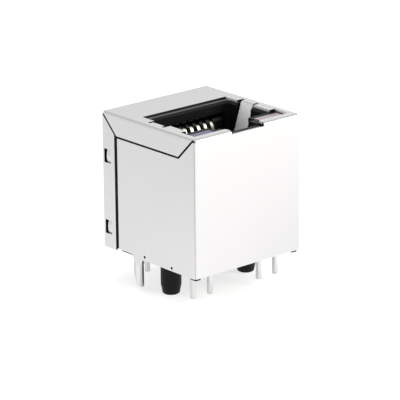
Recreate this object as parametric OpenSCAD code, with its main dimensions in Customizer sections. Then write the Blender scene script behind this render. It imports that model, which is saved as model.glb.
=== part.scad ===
// Shielded eight-way modular jack for a circuit board: the plug enters from above,
// its latch towards the front. One folded tin-plated sheet wraps a black moulded
// housing that carries the contacts, two lamps and the line transformers.
//
// Frame: z = 0 is the board's top face, under the housing's feet. The origin lies
// midway between the two locating posts. +Z points out of the port, -Y to the front.

/* [Shield box] */
// Width of the shield box over its two sides
shield_w = 16; // [15.8:0.05:16.8]
// Depth of the shield box from the front face to the back face
shield_d = 16.36; // [16.3:0.02:17]
// Height of the shield box from its lower edge to the top plate
shield_h = 16.32; // [16:0.04:17]
// Thickness of the shield's sheet
sheet_t = 0.25; // [0.2:0.01:0.28]
// Outer radius of every fold of the sheet
bend_r = 0.35; // [0.3:0.01:0.45]
// Width of the cut seam between two folded leaves
seam = 0.24; // [0.16:0.01:0.3]
// Height of the side flaps that hang from the top plate
flap_h = 2.5; // [2:0.05:3]
// Width of the strips folded forward from the back wall
strip_w = 2.36; // [2.2:0.02:2.5]
// Slot between a side wall and its strip, where the side wall steps inwards
step_gap = 0.57; // [0.5:0.01:0.65]
// How far the rear edge of the side walls is raised behind the tab
rear_lift = 0.27; // [0.15:0.01:0.4]

/* [Shield locks and tabs] */
// Width of a lock window in a strip
window_w = 1.16; // [1:0.02:1.3]
// Height of a lock window
window_h = 1.66; // [1.4:0.02:1.9]
// Distance from the back face to the middle of the windows
window_back = 1.1; // [1:0.02:1.2]
// Height of the lower window's middle above the shield's lower edge
window_low = 2.53; // [2.3:0.01:2.8]
// Height of the upper window's middle above the shield's lower edge
window_high = 11.1; // [10:0.05:11.6]
// Width of a solder tab at its root
tab_w = 1.52; // [1.2:0.02:1.8]
// Length of a solder tab below the shield's lower edge
tab_len = 3.32; // [2.8:0.02:3.6]
// Distance from the front face to the front edge of a solder tab
tab_front = 9.34; // [9:0.02:9.8]
// Diameter of the pierced holes near the lower edge
pierce_d = 0.34; // [0.26:0.02:0.4]

/* [Port opening in the shield] */
// Width of the housing's rim that shows at either side of the plug cavity
side_rim = 0.3; // [0.25:0.01:0.4]
// Width of the housing's rim that shows behind the plug cavity
rear_rim = 0.7; // [0.5:0.02:0.9]
// Width of the top plate left beside the two lamps
lamp_rim = 0.95; // [0.85:0.01:1.05]
// Width of the latch notch through the front edge
notch_w = 4.9; // [4.6:0.05:5.1]
// Depth of the latch notch below the shield's top
notch_drop = 0.45; // [0.36:0.01:0.52]
// Width of the lip left along the front edge
lip_w = 1.05; // [0.95:0.01:1.1]
// Width of each spring finger
finger_w = 2; // [1.7:0.05:2.2]
// Distance from the plug cavity's back wall to the middle of the fingers
finger_back = 2.8; // [2.6:0.05:3]
// Distance from the opening's edge out to a finger's fold
finger_inset = 0.55; // [0.45:0.01:0.6]
// Lean of the fingers into the port
finger_lean = 18; // [14:0.5:20]
// Straight length of a finger
finger_len = 4.2; // [3.6:0.05:4.4]

/* [Housing] */
// Height of the feet that stand on the board
standoff = 0.3; // [0.2:0.02:0.4]
// Distance from the front face back to the locating posts
post_y = 6.95; // [6.6:0.05:7.3]
// Distance between the two locating posts
post_pitch = 11.43; // [11.2:0.01:11.7]
// Diameter of a locating post
post_d = 2.4; // [2.2:0.05:2.6]
// Length of a locating post below the board's top face
post_len = 3.57; // [3.4:0.01:3.7]
// Length of the tapered lead-in at a post's end
post_lead = 1.15; // [0.9:0.05:1.3]
// Clearance between the housing and the shield around it
fit_gap = 0.05; // [0.03:0.01:0.08]

/* [Plug cavity] */
// Width of the cavity for the plug's body
cavity_w = 11.9; // [11.7:0.02:12]
// Distance from the front face to the cavity's front wall
cavity_y0 = 3.4; // [3.35:0.01:3.5]
// Depth of the block behind the cavity, up to the shield's back face
rear_depth = 6.06; // [5.98:0.02:6.1]
// Height of the cavity's floor above the shield's lower edge
cavity_floor = 3.6; // [3.2:0.05:4]
// Chamfer round the cavity's mouth
rim_chamfer = 0.25; // [0.2:0.01:0.3]
// Width of the latch slot at the mouth, beside the keeper ledges
latch_w = 4.4; // [4:0.05:4.6]
// Width of the latch slot behind and below the keeper ledges
latch_wide_w = 6.1; // [6:0.02:6.16]
// Height of the keeper ledges below the housing's top
keeper_h = 1.9; // [1.6:0.05:2.2]
// Thickness of the housing's front wall
front_wall = 0.65; // [0.55:0.01:0.7]
// How far the front wall is cut down behind the shield's latch notch
wall_drop = 0.15; // [0.1:0.01:0.2]

/* [Lamps] */
// Wall of the housing outside a lamp
lamp_wall = 0.75; // [0.65:0.01:0.85]
// Wall of the housing between a lamp and the latch slot
latch_wall = 0.3; // [0.25:0.01:0.35]
// Thickness of a lamp's body, front to back
lamp_t = 1.95; // [1.8:0.01:2]
// Height of a lamp's body
lamp_h = 9.4; // [8:0.1:10]
// Side of a lamp's square lead
lead_t = 0.5; // [0.4:0.01:0.54]
// Distance between a lamp's two leads
lead_pitch = 2.54; // [2.4:0.01:2.6]
// Distance of the two leads' middle inwards from the lamp's middle
lead_shift = 0.15; // [0.1:0.01:0.2]
// Distance from the lamp's front to the middle of its leads
lead_back = 1.5; // [1.3:0.02:1.55]
// Length of the leads below the shield's lower edge
lead_len = 3.32; // [2.8:0.02:3.5]

/* [Contacts] */
// Distance between neighbouring contacts
contact_pitch = 1.016; // [1:0.002:1.03]
// Width of a contact's wire
contact_w = 0.45; // [0.36:0.01:0.48]
// Thickness of a contact's wire
contact_t = 0.35; // [0.28:0.01:0.38]
// Distance from the cavity's back wall to the contacts' upright legs
contact_back = 1.1; // [1.05:0.01:1.14]
// Radius of the bend at the top of a contact, at the wire's middle
contact_bend = 0.5; // [0.45:0.01:0.55]
// Height of the contacts' bend above the shield's lower edge
contact_top = 14.05; // [13.9:0.01:14.1]
// Lean of the contacts' free ends into the cavity
contact_lean = 28; // [24:0.5:32]
// Length of the contacts' free ends
contact_free = 7.6; // [6.5:0.1:8]

/* [Contact insert] */
// Height of the insert's top above the shield's lower edge
insert_top = 14.25; // [14.15:0.01:14.35]
// Width of the insert
insert_w = 10.8; // [10.4:0.02:10.8]
// Width of the ears that hold the insert in its slot
ear_w = 0.6; // [0.4:0.05:0.8]
// Width of the slots that the contacts move in
comb_slot = 0.55; // [0.52:0.01:0.6]
// Thickness of the web behind the slots
comb_web = 0.6; // [0.5:0.02:0.64]

/* [Line module] */
// Wall of the housing beside the circuit board and the pin block
module_wall = 0.53; // [0.45:0.01:0.65]
// Thickness of the circuit board
board_t = 0.8; // [0.7:0.02:0.9]
// Height of the pin block
block_h = 1.6; // [1.5:0.02:1.8]
// Distance from the back face to the rear row of signal pins
pin_back = 1.12; // [1.08:0.01:1.16]
// Distance between the two rows of signal pins
pin_row_gap = 2.54; // [2.52:0.01:2.58]
// Sideways distance between neighbouring signal pins of the two rows
pin_pitch = 1.27; // [1.25:0.01:1.29]
// Side of a square signal pin
pin_t = 0.5; // [0.4:0.01:0.54]
// Length of the signal pins below the shield's lower edge
pin_len = 3.15; // [2.8:0.05:3.4]
// Gap between two wound cores
ring_gap = 0.26; // [0.2:0.02:0.4]
// Bore of a ring core
core_bore = 1.3; // [1.2:0.02:1.4]
// Thickness of a ring core
core_t = 1.2; // [1:0.02:1.3]
// Thickness of the wire layer on a ring core
winding_t = 0.22; // [0.16:0.01:0.26]

/* [Hidden] */
$fn = 48;
eps = 0.01;          // overrun of a cutting tool past the face that it leaves
far = 40;            // longer than the part, for cuts that go right through

// Shield
half_w = shield_w / 2;
flat_x = half_w - bend_r;                  // where the flat sheet ends and a fold starts
fold_leg = 0.1;                            // flat length drawn with a fold, inside its leaf
plate_z = shield_h - sheet_t;              // underside of the top plate
flap_low = shield_h - flap_h;              // lower edge of the side flaps
side_top = flap_low - seam;                // top edge of the side walls
half_mitre = seam / sqrt(2);               // half a mitre's gap, measured along z
mitre_out = 0.1;                           // the mitres start this far outside the corners
front_mitre = shield_h + mitre_out;        // z + y on the middle of the front mitre
rear_mitre = shield_h - shield_d + mitre_out; // z - y on the middle of the rear mitre
strip_y = shield_d - strip_w;              // front edge of the strips
wall_end = strip_y - step_gap;             // where a side wall starts to step inwards
step_len = step_gap * 0.8;                 // length of the inward step
step_in = sheet_t + 0.02;                  // how far the side wall steps inwards
window_y = shield_d - window_back;         // middle of the lock windows
wall_rear = window_y + 0.2;                // rear edge of the stepped-in side wall
barb_rise = step_in - 0.05;                // height of a lock barb over the stepped-in wall
pierced = [[4.1, 0.36], [tab_front - 0.48, 0.45]]; // [y, z] of the pierced holes
finger_slit = 0.4;                         // relief slit beside a finger
tip_r = 0.6;                               // radius of the curl at a finger's end

// Housing
pocket_gap = 0.05;                         // clearance of a piece in its pocket
body_x = half_w - sheet_t - fit_gap;       // half width of the housing
body_rear_x = body_x - step_in - fit_gap;  // half width behind the inward step
body_y0 = sheet_t + fit_gap;
body_y1 = shield_d - sheet_t - fit_gap;
body_top = plate_z - fit_gap;
body_step_y = wall_end - 0.15;             // where the housing narrows
slot_y0 = body_y0 + front_wall;            // front of the latch slot
keeper_y = slot_y0 + 1.35;                 // back of the keeper ledges
latch_relief_y = slot_y0 + 0.3;            // front of the latch slot under the ledges
cavity_x = cavity_w / 2;
cavity_y1 = shield_d - rear_depth;         // back wall of the plug cavity
cavity_r = 0.4;                            // radius of the cavity's rear corners
open_x = cavity_x + side_rim;              // half width of the opening over the cavity
finger_y = cavity_y1 - finger_back;        // middle of the fingers
finger_root = open_x + finger_inset;       // where a finger folds off the top plate
finger_end = finger_root + finger_slit;    // outer end of the relief slits
finger_room = 0.25;                        // clearance beside and behind a finger
lamp_top = body_top - 0.03;
lamp_low = lamp_top - lamp_h;
lamp_y0 = slot_y0 + pocket_gap;            // front of the lamps' bodies
lamp_x0 = latch_wide_w / 2 + latch_wall;   // inner side of a lamp's pocket
lamp_x1 = body_x - lamp_wall;              // outer side of a lamp's pocket
lamp_w = lamp_x1 - lamp_x0 - 2 * pocket_gap;
lamp_x = (lamp_x0 + lamp_x1) / 2;
lead_x = lamp_x - lead_shift;
lead_y = lamp_y0 + lead_back;
lamp_open_y = lamp_y0 + lamp_t + 0.4;      // back edge of the opening over the lamps
lead_depth = 1.2;                          // how deep a lead sits in its lamp
pin_cham = 0.24;                           // chamfer at a lead's end, as a share of its side
floor_slot = 1.8;                          // width of a coring slot under the cavity's floor
floor_rib = 0.9;                           // rib between two coring slots
floor_t = 1.2;                             // floor left over the coring slots
core_skin = 0.9;                           // wall left above, below and before the coring
collar_w = 0.4;                            // how far a post's collar stands out round it
foot_bar = 1.2;                            // width of the bar between the posts

// Contact insert
contact_n = 8;                                    // ways of the jack
contact_y = cavity_y1 + contact_back;             // the contacts' upright legs
slot_back = contact_y + contact_t / 2 + 0.025;   // bottom of the comb slots
insert_y0 = cavity_y1 + 0.03;
insert_y1 = slot_back + comb_web;
insert_z0 = block_h + board_t;                    // the insert stands on the board
lintel_z = insert_top + 0.5;                      // underside of the cavity's lintel
ear_y = insert_y1 - 0.85;                         // front of the insert's ears
bar_y = contact_y - contact_t / 2 - 0.1;          // back of the bar across the comb's foot
insert_bevel = 0.3;                               // bevel along the insert's top front edge
bar_top = 5;                                      // top of the bar across the comb's foot

// Line module
board_w = 2 * (body_rear_x - module_wall - pocket_gap);
board_top = block_h + board_t;
board_y0 = cavity_y1 + 0.65;
board_y1 = body_y1 - 0.1;
module_x = board_w / 2 + pocket_gap;              // half width of the module's pocket
ring_n = 4;                                       // wound cores in a row
ring_pitch = board_w / ring_n;
ring_r = (ring_pitch - ring_gap) / 2;             // outer radius of a wound core
core_d = 2 * (ring_r - winding_t);                // outer diameter of a bare core
ring_z = board_top + ring_r;                      // the wound cores stand on the board
pin_row_y = shield_d - pin_back - pin_row_gap;    // front row of the signal pins
ring_y = pin_row_y + pin_row_gap / 2;             // midway between the pin rows
module_top = ring_z + ring_r + 0.3;               // roof of the module's pocket
pin_top = board_top + 0.45;                       // the pins end just over the board
tail_len = 0.5;                                   // tail of a contact below the board
tail_room = 0.35;                                 // half width of the trough for the tails
cap_w = 3.2;                                      // the capacitor is a 3216 chip
cap_d = 1.5;
cap_h = 1;
chip_w = 1;                                       // the resistors are 1005 chips
chip_d = 0.5;
chip_h = 0.35;

// Positions of what repeats, from left to right
function contact_x(i) = (i - (contact_n + 1) / 2) * contact_pitch;
function pin_x(i) = (i - (contact_n + 1) / 2) * pin_pitch;
function pin_y(i) = pin_row_y + (i % 2 == 1 ? 0 : pin_row_gap);
function ring_x(i) = (i - (ring_n + 1) / 2) * ring_pitch;

// Everything is drawn from the shield's front lower edge and then set on the board.
module on_board() {
    translate([0, -post_y, standoff]) children();
}

module both_sides() {
    children();
    mirror([1, 0, 0]) children();
}

// A box given by its lowest and its highest corner
module block(low, high) {
    translate(low) cube(high - low);
}

// An outline drawn in Y and Z, carried from x0 to x1
module along_x(x0, x1) {
    translate([x0, 0, 0]) rotate([90, 0, 90]) linear_extrude(x1 - x0) children();
}

// An outline drawn in X and Z, carried from y0 to y1
module along_y(y0, y1) {
    translate([0, y1, 0]) rotate([90, 0, 0]) linear_extrude(y1 - y0) children();
}

// One square fold of the sheet, its corner towards [dx, dy], with the start of the flat leaf
// that it grows from
module fold(dx, dy) {
    translate([dx < 0 ? 0 : -fold_leg, dy < 0 ? -bend_r : bend_r - sheet_t]) square([fold_leg, sheet_t]);
    intersection() {
        difference() {
            circle(bend_r);
            circle(bend_r - sheet_t);
        }
        translate([dx < 0 ? -bend_r : 0, dy < 0 ? -bend_r : 0]) square(bend_r);
    }
}

// ---------------------------------------------------------------- shield

// Front wall, top plate and back wall, seen from the side
module wrap_outline() {
    square([sheet_t, shield_h - bend_r]);
    translate([bend_r, plate_z]) square([shield_d - 2 * bend_r, sheet_t]);
    translate([shield_d - sheet_t, 0]) square([sheet_t, shield_h - bend_r]);
    translate([bend_r, shield_h - bend_r]) fold(-1, 1);
    translate([shield_d - bend_r, shield_h - bend_r]) fold(1, 1);
}

// The port's outline in the top plate
module port_outline() {
    lip_r = lip_w / 3;
    lamp_open_x = half_w - lamp_rim;
    translate([-open_x, lip_w]) square([2 * open_x, cavity_y1 + rear_rim - lip_w]);
    translate([-lamp_open_x, lip_w]) square([2 * lamp_open_x, lamp_open_y - lip_w]);
    translate([-notch_w / 2, -1]) square([notch_w, cavity_y0]);
    translate([-finger_root, finger_y - finger_w / 2]) square([2 * finger_root, finger_w]);
    for (side = [-1, 1])
        translate([-finger_end, finger_y + side * (finger_w + finger_slit) / 2 - finger_slit / 2])
            square([2 * finger_end, finger_slit]);
    // Rounded ends of the lip beside the latch notch
    both_sides()
        difference() {
            translate([notch_w / 2 - eps, lip_w - lip_r]) square([lip_r + eps, lip_r + eps]);
            translate([notch_w / 2 + lip_r, lip_w - lip_r]) circle(lip_r);
        }
}

module wrap() {
    difference() {
        along_x(-flat_x, flat_x) wrap_outline();
        translate([0, 0, plate_z - 1]) linear_extrude(3) difference() {
            port_outline();
            translate([-far, -far]) square([2 * far, far + bend_r]);
        }
        block([-notch_w / 2, -1, shield_h - notch_drop], [notch_w / 2, 1, shield_h + 1]);
    }
}

// The inward step of a side wall, as the distance stepped in at a share u of its length
function step_at(u) = step_in * (1 - cos(180 * u)) / 2;

// Front fold, side wall and its stepped-in rear end, seen from above
module side_plan() {
    n = 8;
    outer = [for (k = [0:n]) [half_w - step_at(k / n), wall_end + step_len * k / n]];
    inner = [for (p = outer) [p[0] - sheet_t, p[1]]];
    translate([flat_x, bend_r]) fold(1, -1);
    translate([half_w - sheet_t, bend_r]) square([sheet_t, wall_end - bend_r]);
    polygon(concat(outer, [for (k = [n:-1:0]) inner[k]]));
    translate([half_w - step_in - sheet_t, wall_end + step_len])
        square([sheet_t, wall_rear - wall_end - step_len]);
}

// Edge of a side wall, with the mitred top and the solder tab
module side_edge() {
    fillet = 0.2;
    tab_rear = tab_front + tab_w;
    polygon([
        [-1, 0],
        [tab_front - fillet, 0],
        [tab_front, -fillet],
        [tab_front, -tab_len + 0.12],
        [tab_front + 0.12, -tab_len],
        [tab_front + tab_w * 0.6, -tab_len],
        [tab_front + tab_w * 0.7, -tab_len + 0.14],
        [tab_rear - tab_w * 0.16, -tab_len * 0.75],
        [tab_rear - tab_w * 0.06, -tab_len * 0.5],
        [tab_rear, -fillet],
        [tab_rear + fillet, rear_lift],
        [wall_rear + 1, rear_lift],
        [wall_rear + 1, side_top],
        [front_mitre - half_mitre - side_top, side_top],
        [-1, front_mitre - half_mitre + 1]]);
}

// Convex barb that a side wall pushes out through a lock window
module barb(z) {
    barb_r = 2.2;
    barb_x = half_w - step_in + barb_rise;
    barb_h = window_h - 2 * fit_gap;
    intersection() {
        translate([barb_x - barb_r, 0, z]) rotate([-90, 0, 0]) cylinder(r = barb_r, h = far);
        block([half_w - step_in - sheet_t / 2, window_y - window_w / 2 + fit_gap, z - barb_h / 2],
              [half_w, wall_rear, z + barb_h / 2]);
    }
}

module side_wall() {
    difference() {
        intersection() {
            translate([0, 0, -tab_len]) linear_extrude(tab_len + shield_h - bend_r) side_plan();
            along_x(0, far) side_edge();
        }
        for (p = pierced)
            translate([flat_x, p[0], p[1]]) rotate([0, 90, 0]) cylinder(d = pierce_d, h = 1);
    }
    barb(window_low);
    barb(window_high);
}

// Side flap, folded down from the top plate and mitred at both ends
module flap() {
    intersection() {
        along_y(bend_r, shield_d - bend_r) {
            translate([flat_x, shield_h - bend_r]) fold(1, 1);
            translate([half_w - sheet_t, flap_low]) square([sheet_t, shield_h - bend_r - flap_low]);
        }
        along_x(0, far) polygon([
            [front_mitre + half_mitre - flap_low, flap_low],
            [flap_low - rear_mitre - half_mitre, flap_low],
            [far - rear_mitre - half_mitre, far],
            [front_mitre + half_mitre - far, far]]);
    }
}

// Strip folded forward from the back wall, with its two lock windows
module strip() {
    strip_top = strip_y + rear_mitre - half_mitre;
    difference() {
        intersection() {
            linear_extrude(shield_h - bend_r) {
                translate([flat_x, shield_d - bend_r]) fold(1, 1);
                translate([half_w - sheet_t, strip_y]) square([sheet_t, strip_w - bend_r]);
            }
            along_x(0, far) polygon([
                [strip_y - 1, 0],
                [strip_y + far, 0],
                [strip_y + far, strip_top + far],
                [strip_y, strip_top],
                [strip_y - 1, strip_top]]);
        }
        for (z = [window_low, window_high])
            block([flat_x - eps, window_y - window_w / 2, z - window_h / 2],
                  [half_w + 1, window_y + window_w / 2, z + window_h / 2]);
    }
}

// Spring finger: a fold off the top plate, a straight leg and a curl at its end
module finger_outline() {
    turn = 90 - finger_lean;
    // Fold
    translate([finger_root, plate_z]) square([fold_leg, sheet_t]);
    translate([finger_root, shield_h - bend_r]) intersection() {
        difference() {
            circle(bend_r);
            circle(bend_r - sheet_t);
        }
        polygon([[0, 0], [0, far], [-far, far], [-far * cos(finger_lean), far * sin(finger_lean)]]);
    }
    translate([finger_root, shield_h - bend_r]) rotate(turn) {
        // Straight leg, drawn hanging from the end of the fold
        translate([-finger_len, bend_r - sheet_t]) square([finger_len, sheet_t]);
        // Curl back towards the wall
        translate([-finger_len, bend_r - sheet_t - tip_r]) intersection() {
            difference() {
                circle(tip_r + sheet_t);
                circle(tip_r);
            }
            polygon([[0, 0], [0, far], [-far, far], [-far, far * tan(25)]]);
        }
    }
}

module finger() {
    along_y(finger_y - finger_w / 2, finger_y + finger_w / 2) finger_outline();
}

module shield() {
    color("gainsboro") on_board() {
        wrap();
        both_sides() {
            side_wall();
            flap();
            strip();
            finger();
        }
    }
}

// --------------------------------------------------------------- housing

module cavity_outline() {
    difference() {
        translate([-cavity_x, cavity_y0]) square([cavity_w, cavity_y1 - cavity_y0]);
        both_sides()
            translate([cavity_x - cavity_r, cavity_y1 - cavity_r]) difference() {
                square(cavity_r + eps);
                circle(cavity_r);
            }
    }
}

// Chamfer round the back and the sides of the cavity's mouth
module rim_cut() {
    low = body_top - rim_chamfer;
    rise = rim_chamfer + eps;
    both_sides() {
        along_y(cavity_y0, cavity_y1 - cavity_r) polygon([
            [cavity_x - 1, low],
            [cavity_x, low],
            [cavity_x + rise, low + rise],
            [cavity_x - 1, low + rise]]);
        translate([cavity_x - cavity_r, cavity_y1 - cavity_r, low])
            cylinder(r1 = cavity_r, r2 = cavity_r + rise, h = rise);
    }
    along_x(-cavity_x + cavity_r, cavity_x - cavity_r) polygon([
        [cavity_y1 - 1, low],
        [cavity_y1, low],
        [cavity_y1 + rise, low + rise],
        [cavity_y1 - 1, low + rise]]);
}

// Space for the plug's latch, with two keeper ledges at the mouth
module latch_cut() {
    block([-notch_w / 2, -eps, body_top - wall_drop], [notch_w / 2, slot_y0 + eps, far]);
    block([-latch_w / 2, slot_y0, cavity_floor], [latch_w / 2, cavity_y0 + eps, far]);
    block([-latch_wide_w / 2, keeper_y, cavity_floor], [latch_wide_w / 2, cavity_y0 + eps, far]);
    block([-latch_wide_w / 2, latch_relief_y, cavity_floor],
          [latch_wide_w / 2, cavity_y0 + eps, body_top - keeper_h]);
}

module lamp_pocket() {
    g = pocket_gap;
    block([lamp_x - lamp_w / 2 - g, lamp_y0 - g, lamp_low],
          [lamp_x + lamp_w / 2 + g, lamp_y0 + lamp_t + g, far]);
    for (s = [-1, 1])
        block([lead_x + s * lead_pitch / 2 - lead_t / 2 - g, lead_y - lead_t / 2 - g, -far],
              [lead_x + s * lead_pitch / 2 + lead_t / 2 + g, lead_y + lead_t / 2 + g, far / 2]);
}

// Room for a spring finger to be pushed back by the plug
module finger_recess() {
    block([cavity_x - 0.3, finger_y - finger_w / 2 - finger_room,
           shield_h - finger_len - tip_r - bend_r - finger_room],
          [finger_root + bend_r, finger_y + finger_w / 2 + finger_room, far]);
}

// Coring slots that keep the walls of the back and the floor even
module coring() {
    for (k = [-2:2]) translate([k * (floor_slot + floor_rib), 0, 0]) {
        block([-floor_slot / 2, insert_y1 + core_skin, module_top + core_skin],
              [floor_slot / 2, far, body_top - core_skin]);
        block([-floor_slot / 2, cavity_y0 + core_skin, -eps],
              [floor_slot / 2, cavity_y1 - core_skin, cavity_floor - floor_t]);
    }
}

// Tapered lead-in of a locating post, as a profile turned about its axis
module post() {
    lead_r = post_d / 2 - 0.2;
    translate([0, 0, -post_len]) rotate_extrude() polygon([
        [0, 0],
        [lead_r - 0.15, 0],
        [lead_r, 0.12],
        [post_d / 2, post_lead],
        [post_d / 2, post_len + eps],
        [0, post_len + eps]]);
}

// Feet at the corners and a bar between the posts carry the jack on the board
module feet() {
    foot_x = 0.75;
    foot_y = 0.83;
    both_sides() {
        block([body_x - foot_x, body_y0, -standoff], [body_x, body_y0 + foot_y, eps]);
        block([body_rear_x - 0.45, body_y1 - foot_y, -standoff], [body_rear_x, body_y1, eps]);
        translate([post_pitch / 2, post_y, -standoff]) {
            cylinder(d = post_d + 2 * collar_w, h = standoff + eps);
            post();
        }
    }
    block([-post_pitch / 2, post_y - foot_bar / 2, -standoff],
          [post_pitch / 2, post_y + foot_bar / 2, eps]);
}

module housing() {
    color([0.09, 0.09, 0.1]) on_board() {
        difference() {
            union() {
                block([-body_x, body_y0, 0], [body_x, body_step_y, body_top]);
                block([-body_rear_x, body_step_y - eps, 0], [body_rear_x, body_y1, body_top]);
            }
            translate([0, 0, cavity_floor]) linear_extrude(far) cavity_outline();
            rim_cut();
            latch_cut();
            both_sides() {
                lamp_pocket();
                finger_recess();
            }
            // Slot for the contact insert, open into the cavity below the lintel
            insert_plan(pocket_gap, -eps, lintel_z);
            // Pocket for the line module, open below and behind
            block([-module_x, board_y0 - pocket_gap, -eps], [module_x, far, module_top]);
            coring();
        }
        feet();
    }
}

// -------------------------------------------------------- contact insert

// The insert's body with an ear at each end, or the slot that takes them
module insert_plan(grow, z0, z1) {
    block([-insert_w / 2 - grow, insert_y0 - grow, z0], [insert_w / 2 + grow, insert_y1 + grow, z1]);
    block([-insert_w / 2 - ear_w - grow, ear_y - grow, z0],
          [insert_w / 2 + ear_w + grow, insert_y1 + grow, z1]);
}

module contact_insert() {
    color([0.13, 0.13, 0.14]) on_board() difference() {
        insert_plan(0, insert_z0, insert_top);
        // Bevel along the top that guides the plug's nose in
        along_x(-insert_w, insert_w) polygon([
            [insert_y0 - eps, insert_top - insert_bevel],
            [insert_y0 + insert_bevel, insert_top + eps],
            [insert_y0 - eps, insert_top + eps]]);
        for (i = [1:contact_n]) {
            block([contact_x(i) - comb_slot / 2, insert_y0 - eps, bar_top],
                  [contact_x(i) + comb_slot / 2, slot_back, insert_top + eps]);
            block([contact_x(i) - comb_slot / 2, bar_y, insert_z0 - eps],
                  [contact_x(i) + comb_slot / 2, slot_back, bar_top + eps]);
        }
    }
}

// Upright leg, bend over the top and free end of a contact, seen from the side
module contact_outline() {
    turn = 180 - contact_lean;
    bend_z = contact_top - contact_bend - contact_t / 2;
    tail_z = block_h - tail_len;
    translate([contact_y - contact_t / 2, tail_z]) square([contact_t, bend_z - tail_z]);
    translate([contact_y - contact_bend, bend_z]) {
        intersection() {
            difference() {
                circle(contact_bend + contact_t / 2);
                circle(contact_bend - contact_t / 2);
            }
            polygon([[0, -eps], [far, -eps], [far, far], [-far, far],
                [-far * cos(contact_lean), far * sin(contact_lean)]]);
        }
        rotate(turn) {
            translate([contact_bend - contact_t / 2, -eps]) square([contact_t, contact_free + eps]);
            translate([contact_bend, contact_free]) circle(contact_t / 2);
        }
    }
}

module contact(i) {
    color("goldenrod") on_board()
        along_x(contact_x(i) - contact_w / 2, contact_x(i) + contact_w / 2) contact_outline();
}

// ----------------------------------------------------------------- lamps

module lamp_body() {
    bevel = 0.08;
    difference() {
        along_x(lamp_x - lamp_w / 2, lamp_x + lamp_w / 2) translate([lamp_y0, 0]) polygon([
            [0, lamp_low],
            [lamp_t, lamp_low],
            [lamp_t, lamp_top - bevel],
            [lamp_t - bevel, lamp_top],
            [bevel, lamp_top],
            [0, lamp_top - bevel]]);
        for (s = [-1, 1])
            block([lead_x + s * lead_pitch / 2 - lead_t / 2, lead_y - lead_t / 2, lamp_low - eps],
                  [lead_x + s * lead_pitch / 2 + lead_t / 2, lead_y + lead_t / 2, lamp_low + lead_depth]);
    }
}

module left_lamp() {
    color([0.62, 0.62, 0.72]) on_board() mirror([1, 0, 0]) lamp_body();
}

module right_lamp() {
    color([0.85, 0.72, 0.72]) on_board() lamp_body();
}

// The chamfered lower end of a square pin, seen from one side
module pin_tip(half, cham) {
    polygon([[-half + cham, 0], [half - cham, 0], [half, cham], [-half, cham]]);
}

// A square pin that stands on z = 0 with a chamfer round its lower end
module square_pin(side, length) {
    half = side / 2;
    cham = side * pin_cham;
    translate([-half, -half, cham]) cube([side, side, length - cham]);
    intersection() {
        along_x(-half, half) pin_tip(half, cham);
        along_y(-half, half) pin_tip(half, cham);
    }
}

module lamp_lead(side, inner) {
    color("silver") on_board()
        translate([side * (lead_x + inner * lead_pitch / 2), lead_y, -lead_len])
            square_pin(lead_t, lead_len + lamp_low + lead_depth);
}

// ----------------------------------------------------------- line module

module circuit_board() {
    color("darkgreen") on_board() difference() {
        block([-board_w / 2, board_y0, block_h], [board_w / 2, board_y1, board_top]);
        for (i = [1:contact_n]) {
            translate([contact_x(i), contact_y, 0]) cylinder(d = contact_w + 0.2, h = far, $fn = 24);
            translate([pin_x(i), pin_y(i), 0]) cylinder(d = pin_t * 1.6, h = far, $fn = 24);
        }
    }
}

module pin_block() {
    color([0.11, 0.11, 0.12]) on_board() difference() {
        block([-board_w / 2, board_y0, 0], [board_w / 2, board_y1, block_h]);
        for (i = [1:contact_n])
            block([pin_x(i) - pin_t / 2, pin_y(i) - pin_t / 2, -eps],
                  [pin_x(i) + pin_t / 2, pin_y(i) + pin_t / 2, block_h + eps]);
        // Trough for the contacts' tails
        block([contact_x(1) - tail_room, contact_y - tail_room, block_h - tail_len - pocket_gap],
              [contact_x(contact_n) + tail_room, contact_y + tail_room, block_h + eps]);
        // Well for the capacitor under the board
        block([-cap_w / 2 - pocket_gap, ring_y - cap_d / 2 - pocket_gap, block_h - cap_h - pocket_gap],
              [cap_w / 2 + pocket_gap, ring_y + cap_d / 2 + pocket_gap, block_h + eps]);
    }
}

module signal_pin(i) {
    color("silver") on_board() translate([pin_x(i), pin_y(i), -pin_len])
        square_pin(pin_t, pin_len + pin_top);
}

// Ring section of a core, or of the wire layer grown round it
module ring_section(grow) {
    translate([core_bore / 2 - grow, -core_t / 2 - grow])
        square([(core_d - core_bore) / 2 + 2 * grow, core_t + 2 * grow]);
}

module ring_core(i) {
    color("dimgray") on_board() translate([ring_x(i), ring_y, ring_z]) rotate([90, 0, 0])
        rotate_extrude() ring_section(0);
}

module winding(i) {
    color([0.72, 0.4, 0.2]) on_board() translate([ring_x(i), ring_y, ring_z]) rotate([90, 0, 0])
        difference() {
            rotate([0, 0, 120]) rotate_extrude(angle = 300) ring_section(winding_t);
            rotate_extrude() ring_section(0);
        }
}

module resistor(i) {
    color([0.2, 0.2, 0.2]) on_board()
        translate([pin_x(2 * i) - chip_w / 2, pin_row_y - chip_d / 2, board_top])
            cube([chip_w, chip_d, chip_h]);
}

module shield_capacitor() {
    color("tan") on_board()
        translate([-cap_w / 2, ring_y - cap_d / 2, block_h - cap_h]) cube([cap_w, cap_d, cap_h]);
}

// ----------------------------------------------------------------- nodes

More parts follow.
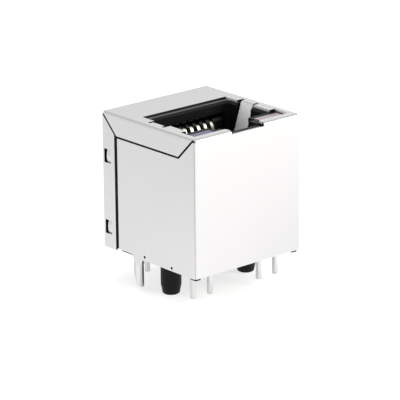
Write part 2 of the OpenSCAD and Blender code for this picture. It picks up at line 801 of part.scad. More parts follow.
shield();
housing();
contact_insert();
contact(1);  // contact_1
contact(2);  // contact_2
contact(3);  // contact_3
contact(4);  // contact_4
contact(5);  // contact_5
contact(6);  // contact_6
contact(7);  // contact_7
contact(8);  // contact_8
left_lamp();
right_lamp();
lamp_lead(-1, 1);  // left_lamp_anode
lamp_lead(-1, -1);  // left_lamp_cathode
lamp_lead(1, 1);  // right_lamp_anode
lamp_lead(1, -1);  // right_lamp_cathode
circuit_board();
pin_block();
signal_pin(1);  // signal_pin_1
signal_pin(2);  // signal_pin_2
signal_pin(3);  // signal_pin_3
signal_pin(4);  // signal_pin_4
signal_pin(5);  // signal_pin_5
signal_pin(6);  // signal_pin_6
signal_pin(7);  // signal_pin_7
signal_pin(8);  // signal_pin_8
ring_core(1);  // transmit_core
ring_core(4);  // receive_core
ring_core(2);  // transmit_choke_core
ring_core(3);  // receive_choke_core
winding(1);  // transmit_winding
winding(4);  // receive_winding
winding(2);  // transmit_choke_winding
winding(3);  // receive_choke_winding
resistor(1);  // resistor_1
resistor(2);  // resistor_2
resistor(3);  // resistor_3
resistor(4);  // resistor_4
shield_capacitor();
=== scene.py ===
from functools import reduce
from math import cos, pi, radians, sin

import bpy
import numpy as np
from mathutils import Matrix, Vector


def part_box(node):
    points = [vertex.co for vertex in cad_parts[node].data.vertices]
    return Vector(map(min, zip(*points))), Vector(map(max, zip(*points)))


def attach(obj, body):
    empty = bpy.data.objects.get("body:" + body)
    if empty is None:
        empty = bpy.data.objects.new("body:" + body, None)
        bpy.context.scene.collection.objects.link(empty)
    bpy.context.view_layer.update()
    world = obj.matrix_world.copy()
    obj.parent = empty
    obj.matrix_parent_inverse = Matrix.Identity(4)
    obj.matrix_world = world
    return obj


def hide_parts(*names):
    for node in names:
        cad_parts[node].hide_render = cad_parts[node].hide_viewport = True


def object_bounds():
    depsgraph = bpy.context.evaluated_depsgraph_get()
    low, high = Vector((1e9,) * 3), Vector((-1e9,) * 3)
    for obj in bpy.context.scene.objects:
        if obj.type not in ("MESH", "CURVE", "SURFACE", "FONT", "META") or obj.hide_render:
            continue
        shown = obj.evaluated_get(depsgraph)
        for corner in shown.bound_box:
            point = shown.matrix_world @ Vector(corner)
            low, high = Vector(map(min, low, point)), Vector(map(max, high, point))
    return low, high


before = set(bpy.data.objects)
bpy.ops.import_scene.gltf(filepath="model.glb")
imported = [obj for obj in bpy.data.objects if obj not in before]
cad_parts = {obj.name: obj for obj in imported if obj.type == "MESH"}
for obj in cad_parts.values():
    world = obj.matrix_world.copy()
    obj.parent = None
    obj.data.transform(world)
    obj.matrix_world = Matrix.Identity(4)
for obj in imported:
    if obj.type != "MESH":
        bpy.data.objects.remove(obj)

cad_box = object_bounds()

# ------------------------------------------------------------------ Camera and studio
# The jack is seen from its front left corner, a little from above, through a long lens. It
# stands on a pale floor in a white surround, lit by a soft box from the front right, a weaker
# one from the left and one overhead.

mm = 0.001
scene = bpy.context.scene
scene.view_settings.view_transform = "Standard"

azimuth, elevation, roll = radians(-40.706), radians(17.561), radians(-0.543)
distance = 325.36 * mm
aim = Vector((0, 1.05 * mm, 8.3 * mm))
back = Vector((sin(azimuth) * cos(elevation), -cos(azimuth) * cos(elevation), sin(elevation)))
right = Vector((cos(azimuth), sin(azimuth), 0))
up = back.cross(right)
right, up = right * cos(roll) + up * sin(roll), up * cos(roll) - right * sin(roll)

lens = bpy.data.cameras.new("camera")
lens.lens, lens.sensor_width = 254.95, 36
lens.shift_x, lens.shift_y = -0.00506, -0.0460
lens.clip_start, lens.clip_end = 0.01, 20
camera = bpy.data.objects.new("camera", lens)
turned = Matrix((right, up, back)).transposed().to_4x4()
camera.matrix_world = Matrix.Translation(aim + back * distance) @ turned
scene.collection.objects.link(camera)
scene.camera = camera


def add(tree, kind, inputs=None, **settings):
    """A new shader node. An input is a plain value, or (node, output) to be joined to it."""
    made = tree.nodes.new("ShaderNode" + kind)
    for name, value in settings.items():
        setattr(made, name, value)
    for socket, value in (inputs or {}).items():
        if isinstance(value, tuple) and isinstance(value[0], bpy.types.Node):
            tree.links.new(value[0].outputs[value[1]], made.inputs[socket])
        else:
            made.inputs[socket].default_value = value
    return made


def calc(tree, operation, *terms):
    """One step of arithmetic on values or (node, output) pairs; the result is such a pair."""
    return add(tree, "Math", dict(enumerate(terms)), operation=operation), 0


def together(tree, operation, *terms):
    """The terms taken two by two: MULTIPLY for masks that all have to hold, MAXIMUM for any."""
    return reduce(lambda so_far, term: calc(tree, operation, so_far, term), terms)


def spread(tree, source, low, high, start=0.1, end=0.9):
    """From low to high as the source goes from start to end."""
    return add(tree, "MapRange", {0: source, 1: start, 2: end, 3: low, 4: high}), 0


def axes(tree, output="Object"):
    """x, y and z, as three pairs, of a point ("Object") or of the way its face looks ("Normal")."""
    parted = add(tree, "SeparateXYZ", {0: (add(tree, "TexCoord"), output)})
    return (parted, 0), (parted, 1), (parted, 2)


# The camera sees the surround white. Metal mirrors it white behind the jack, and greyer
# overhead and behind the camera. To every other ray it is an even fill.
mirror_grey, mirror_white = 0.72, 0.95
fill_level = 0.50
wall_start, wall_end = -0.5, -0.1             # cosine of the angle to where the camera looks
ceiling_start, ceiling_end = 0.45, 0.65       # sine of the angle above the horizon
world = bpy.data.worlds.new("surround")
world.use_nodes = True
scene.world = world
tree = world.node_tree
tree.nodes.clear()
path = add(tree, "LightPath")
from_camera = Vector((-back.x, -back.y, 0)).normalized()
toward = {0: (add(tree, "TexCoord"), "Generated"), 1: from_camera}
away = add(tree, "VectorMath", toward, operation="DOT_PRODUCT"), "Value"
height = axes(tree, "Generated")[2]
backdrop = calc(tree, "MULTIPLY", spread(tree, away, 0, 1, wall_start, wall_end),
                spread(tree, height, 1, 0, ceiling_start, ceiling_end))
mirror_level = spread(tree, backdrop, mirror_grey, mirror_white, 0, 1)
mirrored = calc(tree, "MULTIPLY", (path, "Is Glossy Ray"), mirror_level)
seen = together(tree, "MAXIMUM", (path, "Is Camera Ray"), (path, "Is Transmission Ray"), mirrored)
shown = calc(tree, "MAXIMUM", seen, (path, "Is Glossy Ray"))
white = add(tree, "Background", {"Color": (1, 1, 1, 1), "Strength": seen})
fill = add(tree, "Background", {"Color": (1, 1, 1, 1), "Strength": fill_level})
blend = add(tree, "MixShader", {0: shown, 1: (fill, 0), 2: (white, 0)})
add(tree, "OutputWorld", {0: (blend, 0)})


def floor_disc(reach, height, rings=24, spokes=48):
    """A flat disc: the point (u, v) lies at the radius reach * u squared and the angle 2 pi v."""
    u, v = np.meshgrid(np.linspace(0, 1, rings + 1)[1:], np.arange(spokes) / spokes, indexing="ij")
    x, y = reach * u**2 * np.cos(2 * pi * v), reach * u**2 * np.sin(2 * pi * v)
    points = np.vstack([[[0, 0, height]], np.stack([x, y, np.full_like(x, height)], -1).reshape(-1, 3)])
    ring, spoke = np.meshgrid(np.arange(rings - 1), np.arange(spokes), indexing="ij")
    a, b = 1 + ring * spokes + spoke, 1 + ring * spokes + (spoke + 1) % spokes
    quads = np.stack([a, a + spokes, b + spokes, b], -1).reshape(-1, 4)
    first = np.arange(spokes)
    fan = np.stack([0 * first, 1 + first, 1 + (first + 1) % spokes], -1)
    return points, quads.tolist() + fan.tolist()


floor_reach = 3
points, faces = floor_disc(floor_reach, cad_box[0].z)
shape = bpy.data.meshes.new("floor")
shape.from_pydata(points, [], faces)
floor = bpy.data.objects.new("floor", shape)
scene.collection.objects.link(floor)

# The floor glows besides being lit, so that it is seen and mirrored white. The glow falls
# off to the left, where the jack's side wall mirrors the floor.
glow_left, glow_right = 0.38, 0.70
falloff_start = -60 * mm
paper = bpy.data.materials.new("floor_paper")
paper.use_nodes = True
tree = paper.node_tree
tree.nodes.clear()
path = add(tree, "LightPath")
seen = together(tree, "MAXIMUM", (path, "Is Camera Ray"), (path, "Is Transmission Ray"),
                (path, "Is Glossy Ray"))
matte = add(tree, "BsdfDiffuse", {"Color": (0.8, 0.8, 0.8, 1)})
falloff = spread(tree, axes(tree)[0], glow_left, glow_right, falloff_start, 0)
glow = add(tree, "Emission", {"Strength": calc(tree, "MULTIPLY", seen, falloff)})
total = add(tree, "AddShader", {0: (matte, 0), 1: (glow, 0)})
add(tree, "OutputMaterial", {0: (total, 0)})
shape.materials.append(paper)


def soft_box(name, place, size, power, colour=(1, 1, 1)):
    """A square soft box at that place, turned to the middle of the part; its power is in watts."""
    data = bpy.data.lights.new(name, "AREA")
    data.size, data.energy, data.color = size, power, colour
    lamp = bpy.data.objects.new(name, data)
    lamp.location = place
    lamp.rotation_mode = "QUATERNION"
    lamp.rotation_quaternion = (aim - Vector(place)).to_track_quat("-Z", "Y")
    scene.collection.objects.link(lamp)


soft_box("key_light", place=(0.26, -0.36, 0.15), size=0.30, power=1.35, colour=(1, 0.96, 0.905))
soft_box("side_light", place=(-0.42, 0.16, 0.20), size=0.24, power=0.12)
soft_box("top_light", place=(0.05, 0.02, 0.45), size=0.40, power=0.30)

# ------------------------------------------------------------------ Circuit board
# A small glass-epoxy board, 0.8 mm thick, that joins the contacts, the wound cores and the
# pins. Green solder resist covers it, and the copper tracks under it stand up a little.

resist_bare, resist_track = (0.008, 0.07, 0.028, 1), (0.02, 0.14, 0.05, 1)


def finish(name, colour, roughness, metallic=0.0, **values):
    """A material with one Principled shader; further values go to its sockets by name. The
    colour and roughness stand for the whole until patterns are joined to them."""
    material = bpy.data.materials.new(name)
    material.use_nodes = True
    shader = material.node_tree.nodes["Principled BSDF"]
    values = {"Base Color": colour, "Roughness": roughness, "Metallic": metallic, **values}
    for socket, value in values.items():
        shader.inputs[socket.replace("_", " ")].default_value = value
    return material, material.node_tree, shader


def join(tree, shader, **sources):
    """Joins (node, output) pairs to the shader's sockets by name."""
    for socket, (source, out) in sources.items():
        tree.links.new(source.outputs[out], shader.inputs[socket.replace("_", " ")])


def pattern(tree, scale, stretch=(1, 1, 1), detail=3.0, kind="TexNoise"):
    """A pattern fixed to the part, so many cells to the metre, drawn out where stretch is small."""
    place = add(tree, "Mapping", {0: (add(tree, "TexCoord"), "Object"), "Scale": stretch})
    made = add(tree, kind, {0: (place, 0), "Scale": scale})
    if "Detail" in made.inputs:
        made.inputs["Detail"].default_value = detail
    return made, ("Fac" if kind == "TexNoise" else "Distance")


def tint(tree, share, first, second):
    """The first colour where share is 0 and the second where it is 1."""
    return add(tree, "Mix", {0: share, 6: first, 7: second}, data_type="RGBA"), 2


def vary(tree, source, dark, light):
    """From the dark colour to the light one as the pattern rises."""
    return tint(tree, spread(tree, source, 0, 1), dark, light)


def relief(tree, height, depth, strength=0.5, under=None):
    """A bump of that depth in metres, over another bump if there is one."""
    inputs = {"Height": height, "Distance": depth, "Strength": strength}
    if under:
        inputs["Normal"] = under
    return add(tree, "Bump", inputs), 0


def dress(material, *nodes):
    """Gives the named CAD parts that one material."""
    for name in nodes:
        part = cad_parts[name]
        part.data.materials.clear()
        part.data.materials.append(material)


board_green, tree, shader = finish("board_green", (0.01, 0.09, 0.035, 1), 0.3)
weave = pattern(tree, 2600, detail=1)
tracks = pattern(tree, 700, stretch=(1, 1, 0.1), kind="TexVoronoi")
off_track = spread(tree, tracks, 0, 1, 0.15, 0.4)
join(tree, shader, Base_Color=tint(tree, off_track, resist_track, resist_bare),
     Roughness=spread(tree, weave, 0.24, 0.36), Normal=relief(tree, tracks, 8e-6, 0.4))
dress(board_green, "circuit_board")

# ------------------------------------------------------------------ Contact comb and pin block
# Two small mouldings of the housing's black plastic: the comb that spaces the contact wires
# and slides into the housing from below, and the block that carries the signal pins.

comb_dark, comb_light = (0.005, 0.005, 0.005, 1), (0.012, 0.012, 0.012, 1)
comb_round = 0.06 * mm


def ease_edges(width, segments, *nodes):
    """Joins a CAD part's triangles into whole faces and rounds its edges by that width."""
    for name in nodes:
        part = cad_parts[name]
        weld = part.modifiers.new("join", "WELD")
        weld.merge_threshold = 1e-7
        flat = part.modifiers.new("whole_faces", "DECIMATE")
        flat.decimate_type, flat.angle_limit = "DISSOLVE", radians(1)
        round_over = part.modifiers.new("round_over", "BEVEL")
        round_over.width, round_over.segments = width, segments
        round_over.limit_method, round_over.angle_limit = "ANGLE", radians(30)
        round_over.use_clamp_overlap = True


comb_plastic, tree, shader = finish("comb_plastic", (0.008, 0.008, 0.008, 1), 0.35)
cloud = pattern(tree, 600)
satin = pattern(tree, 9000, detail=2)
join(tree, shader, Base_Color=vary(tree, cloud, comb_dark, comb_light),
     Roughness=spread(tree, cloud, 0.28, 0.40), Normal=relief(tree, satin, 3e-6))
dress(comb_plastic, "contact_insert", "pin_block")
ease_edges(comb_round, 2, "contact_insert")

# ------------------------------------------------------------------ Contacts
# Eight spring wires of phosphor bronze, nickel plated all over and gold plated at the bend,
# where the plug's blades press. The bend's crown is painted pale gold, the plating's colour with
# a painted highlight, and the wire below it is painted dark, a painted shade for the dark cavity
# it runs down into. Drawing leaves rounded edges and fine lines along the wire.

contact_round = 0.09 * mm
# pale gold: the plating's colour, painted paler as a highlight
gold_dark, gold_light = (0.90, 0.86, 0.76, 1), (0.95, 0.92, 0.84, 1)
painted_wire_shade = (0.20, 0.18, 0.15, 1)
shade_full_below, shade_fades_below = 0.8 * mm, 0.35 * mm        # below the top of the bend

contacts = [f"contact_{number}" for number in range(1, 9)]
bend_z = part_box("contact_1")[1].z
contact_gold, tree, shader = finish("contact_gold", (0.93, 0.86, 0.70, 1), 0.27, 1.0)
drawn = pattern(tree, 16000, stretch=(1, 0.05, 0.05), detail=2)
patchy = pattern(tree, 900)
# Painted shade below the bend and a painted highlight at its crown.
shaded_below_bend = spread(tree, axes(tree)[2], 1, 0, bend_z - shade_full_below, bend_z - shade_fades_below)
pale_gold_highlight = vary(tree, patchy, gold_dark, gold_light)
join(tree, shader, Base_Color=tint(tree, shaded_below_bend, pale_gold_highlight, painted_wire_shade),
     Roughness=spread(tree, patchy, 0.22, 0.32), Normal=relief(tree, drawn, 1e-6))
dress(contact_gold, *contacts)
ease_edges(contact_round, 3, *contacts)

# ------------------------------------------------------------------ Signal pins and lamp leads
# Square wires, tinned before they are cut: bright, a little uneven, and sheared to a blunt
# point at the lower end. The pins are pressed into their block, the leads cast in the lamps.

wire_round = 0.05 * mm
wire_dark, wire_light = (0.56, 0.56, 0.565, 1), (0.70, 0.70, 0.70, 1)

pins = [f"signal_pin_{number}" for number in range(1, 9)]
leads = [f"{side}_lamp_{pole}" for side in ("left", "right") for pole in ("anode", "cathode")]
tinned_wire, tree, shader = finish("tinned_wire", (0.72, 0.72, 0.72, 1), 0.25, 1.0)
drawn = pattern(tree, 9000, stretch=(1, 1, 0.04), detail=2)
flow = pattern(tree, 1400, stretch=(1, 1, 0.4))
uneven = relief(tree, flow, 1.2e-5, 0.4)
join(tree, shader, Base_Color=vary(tree, flow, wire_dark, wire_light),
     Roughness=spread(tree, flow, 0.18, 0.34), Normal=relief(tree, drawn, 1.5e-6, under=uneven))
dress(tinned_wire, *leads, *pins)
ease_edges(wire_round, 2, *leads, *pins)

# ------------------------------------------------------------------ Solder joints
# Every pin and contact that comes up through the board stands in a cone of solder, which is
# bright and slightly frosted.

pin_foot, pin_neck = 0.46 * mm, 0.27 * mm
contact_foot, contact_neck = 0.36 * mm, 0.24 * mm
contact_t = 0.35 * mm
cone_rise = 0.3 * mm
solder_dark, solder_light = (0.60, 0.60, 0.61, 1), (0.76, 0.76, 0.77, 1)


def as_mesh(name, grids):
    """One smooth mesh from grids of points (m, n, 3): neighbours are joined into quads, and the
    last of the n columns is joined to the first."""
    points, faces, start = [], [], 0
    for grid in grids:
        rows, columns = grid.shape[:2]
        i, j = np.meshgrid(np.arange(rows - 1), np.arange(columns), indexing="ij")
        row, next_row, beside = i * columns, (i + 1) * columns, (j + 1) % columns
        quads = np.stack([row + j, row + beside, next_row + beside, next_row + j], -1)
        points.append(grid.reshape(-1, 3))
        faces.append(quads.reshape(-1, 4) + start)
        start += rows * columns
    shape = bpy.data.meshes.new(name)
    shape.from_pydata(np.concatenate(points), [], np.concatenate(faces).tolist())
    shape.shade_smooth()
    piece = bpy.data.objects.new(name, shape)
    scene.collection.objects.link(piece)
    return piece


def solder_cone(x, y, z, foot, neck, rise, rows=8, columns=20):
    """Solder drawn up round a pin. Up the height v * rise the radius falls from foot to neck as
    (1 - v) cubed, and the rows below and above close on the pin's axis."""
    v = np.linspace(0, 1, rows)
    radius = np.concatenate([[0.0], neck + (foot - neck) * (1 - v) ** 3, [0.0]])
    height = np.concatenate([[0.0], v * rise, [rise]])
    turn = np.linspace(0, 2 * pi, columns, endpoint=False)
    return np.stack([x + radius[:, None] * np.cos(turn), y + radius[:, None] * np.sin(turn),
                     z + height[:, None] + 0 * turn], -1)


board_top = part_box("circuit_board")[1].z
cones = []
for name in pins:
    low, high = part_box(name)
    pin_x, pin_y = (low.x + high.x) / 2, (low.y + high.y) / 2
    cones.append(solder_cone(pin_x, pin_y, board_top, pin_foot, pin_neck, cone_rise))
for name in contacts:
    low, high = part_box(name)
    leg_x, leg_y = (low.x + high.x) / 2, high.y - contact_t / 2
    cones.append(solder_cone(leg_x, leg_y, board_top, contact_foot, contact_neck, cone_rise))
solder_joints = as_mesh("solder_joints", cones)
solder, tree, shader = finish("solder", (0.70, 0.70, 0.71, 1), 0.2, 1.0)
frost = pattern(tree, 3000)
join(tree, shader, Base_Color=vary(tree, frost, solder_dark, solder_light),
     Roughness=spread(tree, frost, 0.14, 0.3))
solder_joints.data.materials.append(solder)
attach(solder_joints, "root")

# ------------------------------------------------------------------ Wound cores
# Four ferrite rings stand on the board. Each is wound with two enamelled copper wires, one
# natural and one green, laid side by side; a gap in the winding is left at the top.

wire_d = 0.15 * mm
bore_r = 0.65 * mm
turns = 9
gap_half = radians(30)
ferrite_dark, ferrite_light = (0.025, 0.025, 0.027, 1), (0.07, 0.068, 0.066, 1)

ferrite, tree, shader = finish("ferrite", (0.05, 0.05, 0.052, 1), 0.55)
pores = pattern(tree, 7000, detail=4)
join(tree, shader, Base_Color=vary(tree, pores, ferrite_dark, ferrite_light),
     Roughness=spread(tree, pores, 0.45, 0.7), Normal=relief(tree, pores, 1.2e-5, 0.6))


def enamel(name, dark, light):
    """Enamelled copper: a glossy coat over a colour that varies along the wire."""
    material, tree, shader = finish(name, light, 0.25, 0.7, Coat_Weight=0.6, Coat_Roughness=0.1)
    run = pattern(tree, 2200)
    join(tree, shader, Base_Color=vary(tree, run, dark, light), Roughness=spread(tree, run, 0.2, 0.32))
    return material


copper_enamel = enamel("copper_enamel", (0.42, 0.14, 0.05, 1), (0.62, 0.25, 0.10, 1))
green_enamel = enamel("green_enamel", (0.03, 0.16, 0.06, 1), (0.06, 0.27, 0.10, 1))


def wire_round_ring(centre, middle_r, half_radial, half_axial, phase, steps=26, sides=8, flatness=0.4):
    """A tube along a coil round a ring whose axis is Y. As t goes from 0 to 1 the path goes from
    one side of the gap round the ring to the other, while it goes `turns` times round the ring's
    section on a superellipse, whose sine and cosine are raised to the power of flatness."""
    t = np.linspace(0, 1, turns * steps + 1)
    ring_angle = pi / 2 + gap_half + (2 * pi - 2 * gap_half) * (t * (turns - 0.5) + phase) / turns
    section = 2 * pi * turns * t
    outward = np.sign(np.cos(section)) * np.abs(np.cos(section)) ** flatness
    aside = np.sign(np.sin(section)) * np.abs(np.sin(section)) ** flatness
    radius = middle_r + half_radial * outward
    path = np.stack([radius * np.cos(ring_angle), half_axial * aside, radius * np.sin(ring_angle)], -1)
    tangent = np.gradient(path, axis=0)
    tangent /= np.linalg.norm(tangent, axis=1, keepdims=True)
    hub = np.stack([middle_r * np.cos(ring_angle), 0 * t, middle_r * np.sin(ring_angle)], -1)
    lift = path - hub
    lift -= (lift * tangent).sum(1, keepdims=True) * tangent
    lift /= np.linalg.norm(lift, axis=1, keepdims=True)
    sideways = np.cross(tangent, lift)
    turn = np.linspace(0, 2 * pi, sides, endpoint=False)
    size = np.concatenate([[0], np.full(len(t), wire_d / 2), [0]])[:, None, None]
    rows = np.concatenate([[0], np.arange(len(t)), [len(t) - 1]])
    round_it = np.cos(turn)[:, None] * sideways[rows, None] + np.sin(turn)[:, None] * lift[rows, None]
    return np.array(centre) + path[rows, None] + size * round_it


for name in ("transmit", "receive", "transmit_choke", "receive_choke"):
    low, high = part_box(f"{name}_core")
    outer_r = (high.x - low.x) / 2
    coil = {"centre": (low + high) / 2, "middle_r": (outer_r + bore_r) / 2,
            "half_radial": (outer_r - bore_r) / 2 + wire_d / 2,
            "half_axial": (high.y - low.y) / 2 + wire_d / 2}
    strands = [wire_round_ring(**coil, phase=phase) for phase in (0.0, 0.5)]
    wires = as_mesh(f"{name}_wires", strands)
    wires.data.materials.append(copper_enamel)
    wires.data.materials.append(green_enamel)
    half = len(wires.data.polygons) // 2
    wires.data.polygons.foreach_set("material_index", np.repeat([0, 1], half))
    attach(wires, "root")
    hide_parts(f"{name}_winding")
    dress(ferrite, f"{name}_core")

# ------------------------------------------------------------------ Chips
# Four chip resistors with glossy black glass over ceramic, and one larger ceramic
# capacitor that couples the shield to the board. Both kinds are soldered by their ends.

end_tin = (0.66, 0.66, 0.67, 1)
resistors = [f"resistor_{number}" for number in range(1, 5)]


def chip_finish(name, dark, light, nodes, end_share):
    """A chip's body colour, with tinned ends where it lies within end_share of its length from an end."""
    for node in nodes:
        low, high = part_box(node)
        material, tree, shader = finish(f"{name}_{node}", light, 0.25)
        reach = (high.x - low.x) * (0.5 - end_share)
        body = calc(tree, "COMPARE", axes(tree)[0], (low.x + high.x) / 2, reach)
        speck = pattern(tree, 4000, detail=2)
        join(tree, shader, Base_Color=tint(tree, body, end_tin, vary(tree, speck, dark, light)),
             Metallic=calc(tree, "SUBTRACT", 1, body), Roughness=spread(tree, speck, 0.2, 0.32))
        dress(material, node)


chip_finish("glass", (0.008, 0.008, 0.008, 1), (0.02, 0.02, 0.02, 1), resistors, end_share=0.2)
chip_finish("ceramic", (0.30, 0.18, 0.10, 1), (0.42, 0.28, 0.16, 1), ["shield_capacitor"], end_share=0.16)

# ------------------------------------------------------------------ Housing
# One black glass-filled moulding with the plug cavity, the lamps' pockets, the feet and the
# two locating posts. The mould was spark eroded, which leaves a fine satin, and the glass shows
# as faint paler flecks. The rim's top faces behind the lamps are painted grey, a painted
# reflection of the bright surround seen at a grazing angle.

black_dark, black_light = (0.0035, 0.0035, 0.0035, 1), (0.008, 0.008, 0.0085, 1)
glass_fleck = (0.03, 0.03, 0.03, 1)
painted_rim_sheen = (0.20, 0.195, 0.20, 1)
rim_sheen_depth = 0.01 * mm
lamp_clearance = 0.5 * mm
squarely = 0.9          # a face looks along an axis where its direction's share of it is over this


def over(tree, value, limit):
    """1 where the value is over the limit, else 0."""
    return calc(tree, "GREATER_THAN", value, limit)


rim_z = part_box("housing")[1].z
lamps_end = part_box("left_lamp")[1].y
black_plastic, tree, shader = finish("black_plastic", (0.006, 0.006, 0.006, 1), 0.5,
                                     Specular_IOR_Level=0.18)
cloud = pattern(tree, 420, detail=4)
flecks = pattern(tree, 5200, stretch=(1, 1, 0.35), kind="TexVoronoi")
satin = pattern(tree, 11000, detail=2)
body = vary(tree, cloud, black_dark, black_light)
body = tint(tree, spread(tree, flecks, 1, 0, 0.04, 0.16), body, glass_fleck)
y, z = axes(tree)[1:]
facing_up = axes(tree, "Normal")[2]
# Painted reflection: the rim's upward faces behind the lamps are painted grey.
lit_rim = together(tree, "MULTIPLY", over(tree, z, rim_z - rim_sheen_depth), over(tree, facing_up, squarely),
               over(tree, y, lamps_end + lamp_clearance))
join(tree, shader, Base_Color=tint(tree, lit_rim, body, painted_rim_sheen), Roughness=spread(tree, cloud, 0.42, 0.56),
     Normal=relief(tree, satin, 3e-6))
dress(black_plastic, "housing")

# ------------------------------------------------------------------ Lamps
# Two cast resin lamps, milky so that the whole top glows: one with a bluish and one with a
# rosy tone when unlit. The top face is as smooth as its mould, and paler toward the front.

paling = 1.3 * mm
bluish, bluish_pale = (0.13, 0.108, 0.235, 1), (0.18, 0.158, 0.27, 1)
rosy, rosy_pale = (0.50, 0.40, 0.45, 1), (0.86, 0.77, 0.70, 1)


def resin(name, shade, pale, front_y):
    """Milky resin: its colour pales toward the front, and a slow noise clouds it."""
    material, tree, shader = finish(name, shade, 0.16, Specular_IOR_Level=0.3)
    toward_front = spread(tree, axes(tree)[1], 1, 0, front_y, front_y + paling)
    cloud = pattern(tree, 900, detail=2)
    share = calc(tree, "MULTIPLY", toward_front, spread(tree, cloud, 0.6, 1))
    join(tree, shader, Base_Color=tint(tree, share, shade, pale), Roughness=spread(tree, cloud, 0.12, 0.22))
    return material


dress(resin("bluish_resin", bluish, bluish_pale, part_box("left_lamp")[0].y), "left_lamp")
dress(resin("rosy_resin", rosy, rosy_pale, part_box("right_lamp")[0].y), "right_lamp")

# ------------------------------------------------------------------ Shield
# One sheet of tin-plated steel, cut and folded round the housing. Rolling leaves a grain along
# its run from the front over the top to the back. The tin is on the two faces only, so the
# sheared edges are bare steel; they are painted near black, their own darker colour deepened
# into a painted shade for the gaps and slots they face. The solder tabs are dipped in tin again.
# Besides the tin's own tones, the colours below paint shade at the folds and toward the lower
# right, and painted highlights on the top plate, the tabs, the fingers and the side edges.

sheet_t = 0.25 * mm
bend_r = 0.35 * mm
edge_band = 0.53 * sheet_t            # a little over half the sheet, to either side of its middle
tab_front, tab_half = 9.34 * mm, 0.76 * mm
finger_x, finger_reach = 5.6 * mm, 1.35 * mm
fold_x = 7 * mm
sheen_start = 1 * mm
dip_low, dip_high = -0.9 * mm, -0.1 * mm
crown_flat = 0.15 * mm
smudge_share = 0.2
grain_stretch = 0.03
rough_low, rough_high = 0.266, 0.276
rough_sheared, rough_highlight = 0.5, 0.6
# Some of these colours are painted shade and painted highlights, as said where they are used.
tin, tin_smudged_and_shaded = (0.685, 0.681, 0.684, 1), (0.62, 0.616, 0.62, 1)
tin_sheen, tin_highlight = (0.74, 0.735, 0.74, 1), (0.98, 0.98, 0.98, 1)
fold_shade_upright, fold_shade_level = (0.44, 0.43, 0.43, 1), (0.64, 0.63, 0.63, 1)
dipped_side_shade, dipped_crown_highlight = (0.44, 0.44, 0.445, 1), (0.78, 0.78, 0.78, 1)
bare_steel_in_shade = (0.035, 0.028, 0.023, 1)


def near(tree, value, middle, reach):
    """1 where the value lies within reach of the middle, else 0."""
    return calc(tree, "COMPARE", value, middle, reach)


def part_way(tree, share, first, second):
    """The first value where share is 0 and the second where it is 1."""
    return add(tree, "Mix", {0: share, 2: first, 3: second}, data_type="FLOAT"), 0


low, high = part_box("shield")
tin_plate, tree, shader = finish("tin_plate", tin, 0.27, 1.0)
x, y, z = axes(tree)
across = calc(tree, "ABSOLUTE", x)
side_face, front_face, level_face = [calc(tree, "ABSOLUTE", axis) for axis in axes(tree, "Normal")]
inside = near(tree, y, (low.y + high.y) / 2, (high.y - low.y) / 2 - bend_r)

# The cut edges of the opening in the top plate and of the leaves folded down at the sides.
# The opening's edges that look to the side, and the fingers, are painted near white, a painted highlight.
plate_edge = together(tree, "MULTIPLY", near(tree, z, high.z - sheet_t / 2, edge_band),
                      near(tree, level_face, 0, 0.3), near(tree, across, 0, high.x - bend_r))
leaf_edge = together(tree, "MULTIPLY", near(tree, across, high.x - sheet_t / 2, edge_band),
                     over(tree, front_face, 0.6), near(tree, z, high.z / 2, high.z / 2 - bend_r))
edge_ahead = calc(tree, "MULTIPLY", plate_edge, calc(tree, "LESS_THAN", side_face, 0.5))
edge_aside = calc(tree, "MULTIPLY", plate_edge, over(tree, side_face, 0.5))
finger = calc(tree, "MULTIPLY", near(tree, across, finger_x, finger_reach),
              calc(tree, "LESS_THAN", z, high.z - 1.1 * sheet_t))
# Painted shade: the forward-looking cut edges are painted darker than bare steel is.
sheared_in_shade = calc(tree, "MULTIPLY", calc(tree, "MAXIMUM", edge_ahead, leaf_edge), inside)
# Painted highlight on the sideways cut edges and the fingers.
painted_highlight = calc(tree, "MULTIPLY", calc(tree, "MAXIMUM", edge_aside, finger), inside)

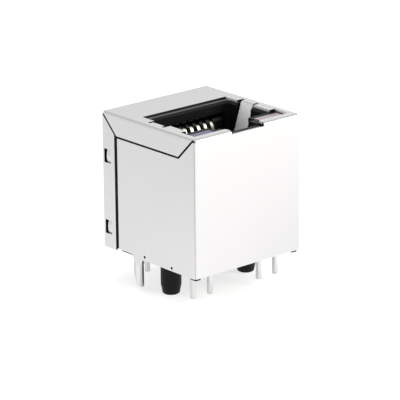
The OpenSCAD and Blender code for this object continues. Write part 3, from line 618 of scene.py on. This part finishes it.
# The tin is painted darker toward the lower right, a painted shade, and faint smudges dull it at random.
smudge = pattern(tree, 150, detail=1)
painted_shade_lower_right = calc(tree, "MULTIPLY", spread(tree, x, 0, 1, low.x, high.x), spread(tree, z, 1, 0, low.z, high.z))
bright = calc(tree, "SUBTRACT", 1, calc(tree, "MULTIPLY_ADD", smudge, smudge_share, painted_shade_lower_right))
plated = tint(tree, bright, tin_smudged_and_shaded, tin)

# The folds are painted as grey lines, a painted shade for the dark mirrored in the bends, and the top plate
# is painted lighter toward the front, a painted sheen.
squareness = together(tree, "MAXIMUM", side_face, front_face, level_face)
# Painted shade along the folds.
painted_fold_shade = calc(tree, "MULTIPLY", spread(tree, squareness, 1, 0, 0.72, 0.84), over(tree, across, fold_x))
plated = tint(tree, painted_fold_shade, plated, tint(tree, level_face, fold_shade_upright, fold_shade_level))
# Painted sheen: the top plate is painted lighter toward the front.
painted_top_sheen = calc(tree, "MULTIPLY", spread(tree, y, 1, 0, low.y + sheen_start, high.y),
              over(tree, level_face, squarely))
plated = tint(tree, painted_top_sheen, plated, tin_sheen)

# The tabs are dipped below the shield's lower edge; across each tab the middle is painted light and the
# sides dark, a painted highlight and shade of a rounded tin coat.
# Last come the painted highlights on the side edges and fingers.
dipped = spread(tree, z, 1, 0, dip_low, dip_high)
off_middle = calc(tree, "ABSOLUTE", calc(tree, "SUBTRACT", y, low.y + tab_front + tab_half))
crown_highlight = spread(tree, off_middle, 1, 0, crown_flat, tab_half)
plated = tint(tree, dipped, plated, tint(tree, crown_highlight, dipped_side_shade, dipped_crown_highlight))
plated = tint(tree, painted_highlight, plated, tin_highlight)

# The rolled grain runs up the front, back and side walls and front to back over the top plate.
along_run = pattern(tree, 5200, stretch=(1, grain_stretch, grain_stretch))
along_side = pattern(tree, 5200, stretch=(grain_stretch, 1, grain_stretch))
grain = part_way(tree, side_face, along_run, along_side)
rough = part_way(tree, sheared_in_shade, spread(tree, grain, rough_low, rough_high), rough_sheared)
rough = part_way(tree, painted_highlight, rough, rough_highlight)
join(tree, shader, Base_Color=tint(tree, sheared_in_shade, plated, bare_steel_in_shade), Roughness=rough,
     Normal=relief(tree, grain, 1e-6, 0.3))
dress(tin_plate, "shield")
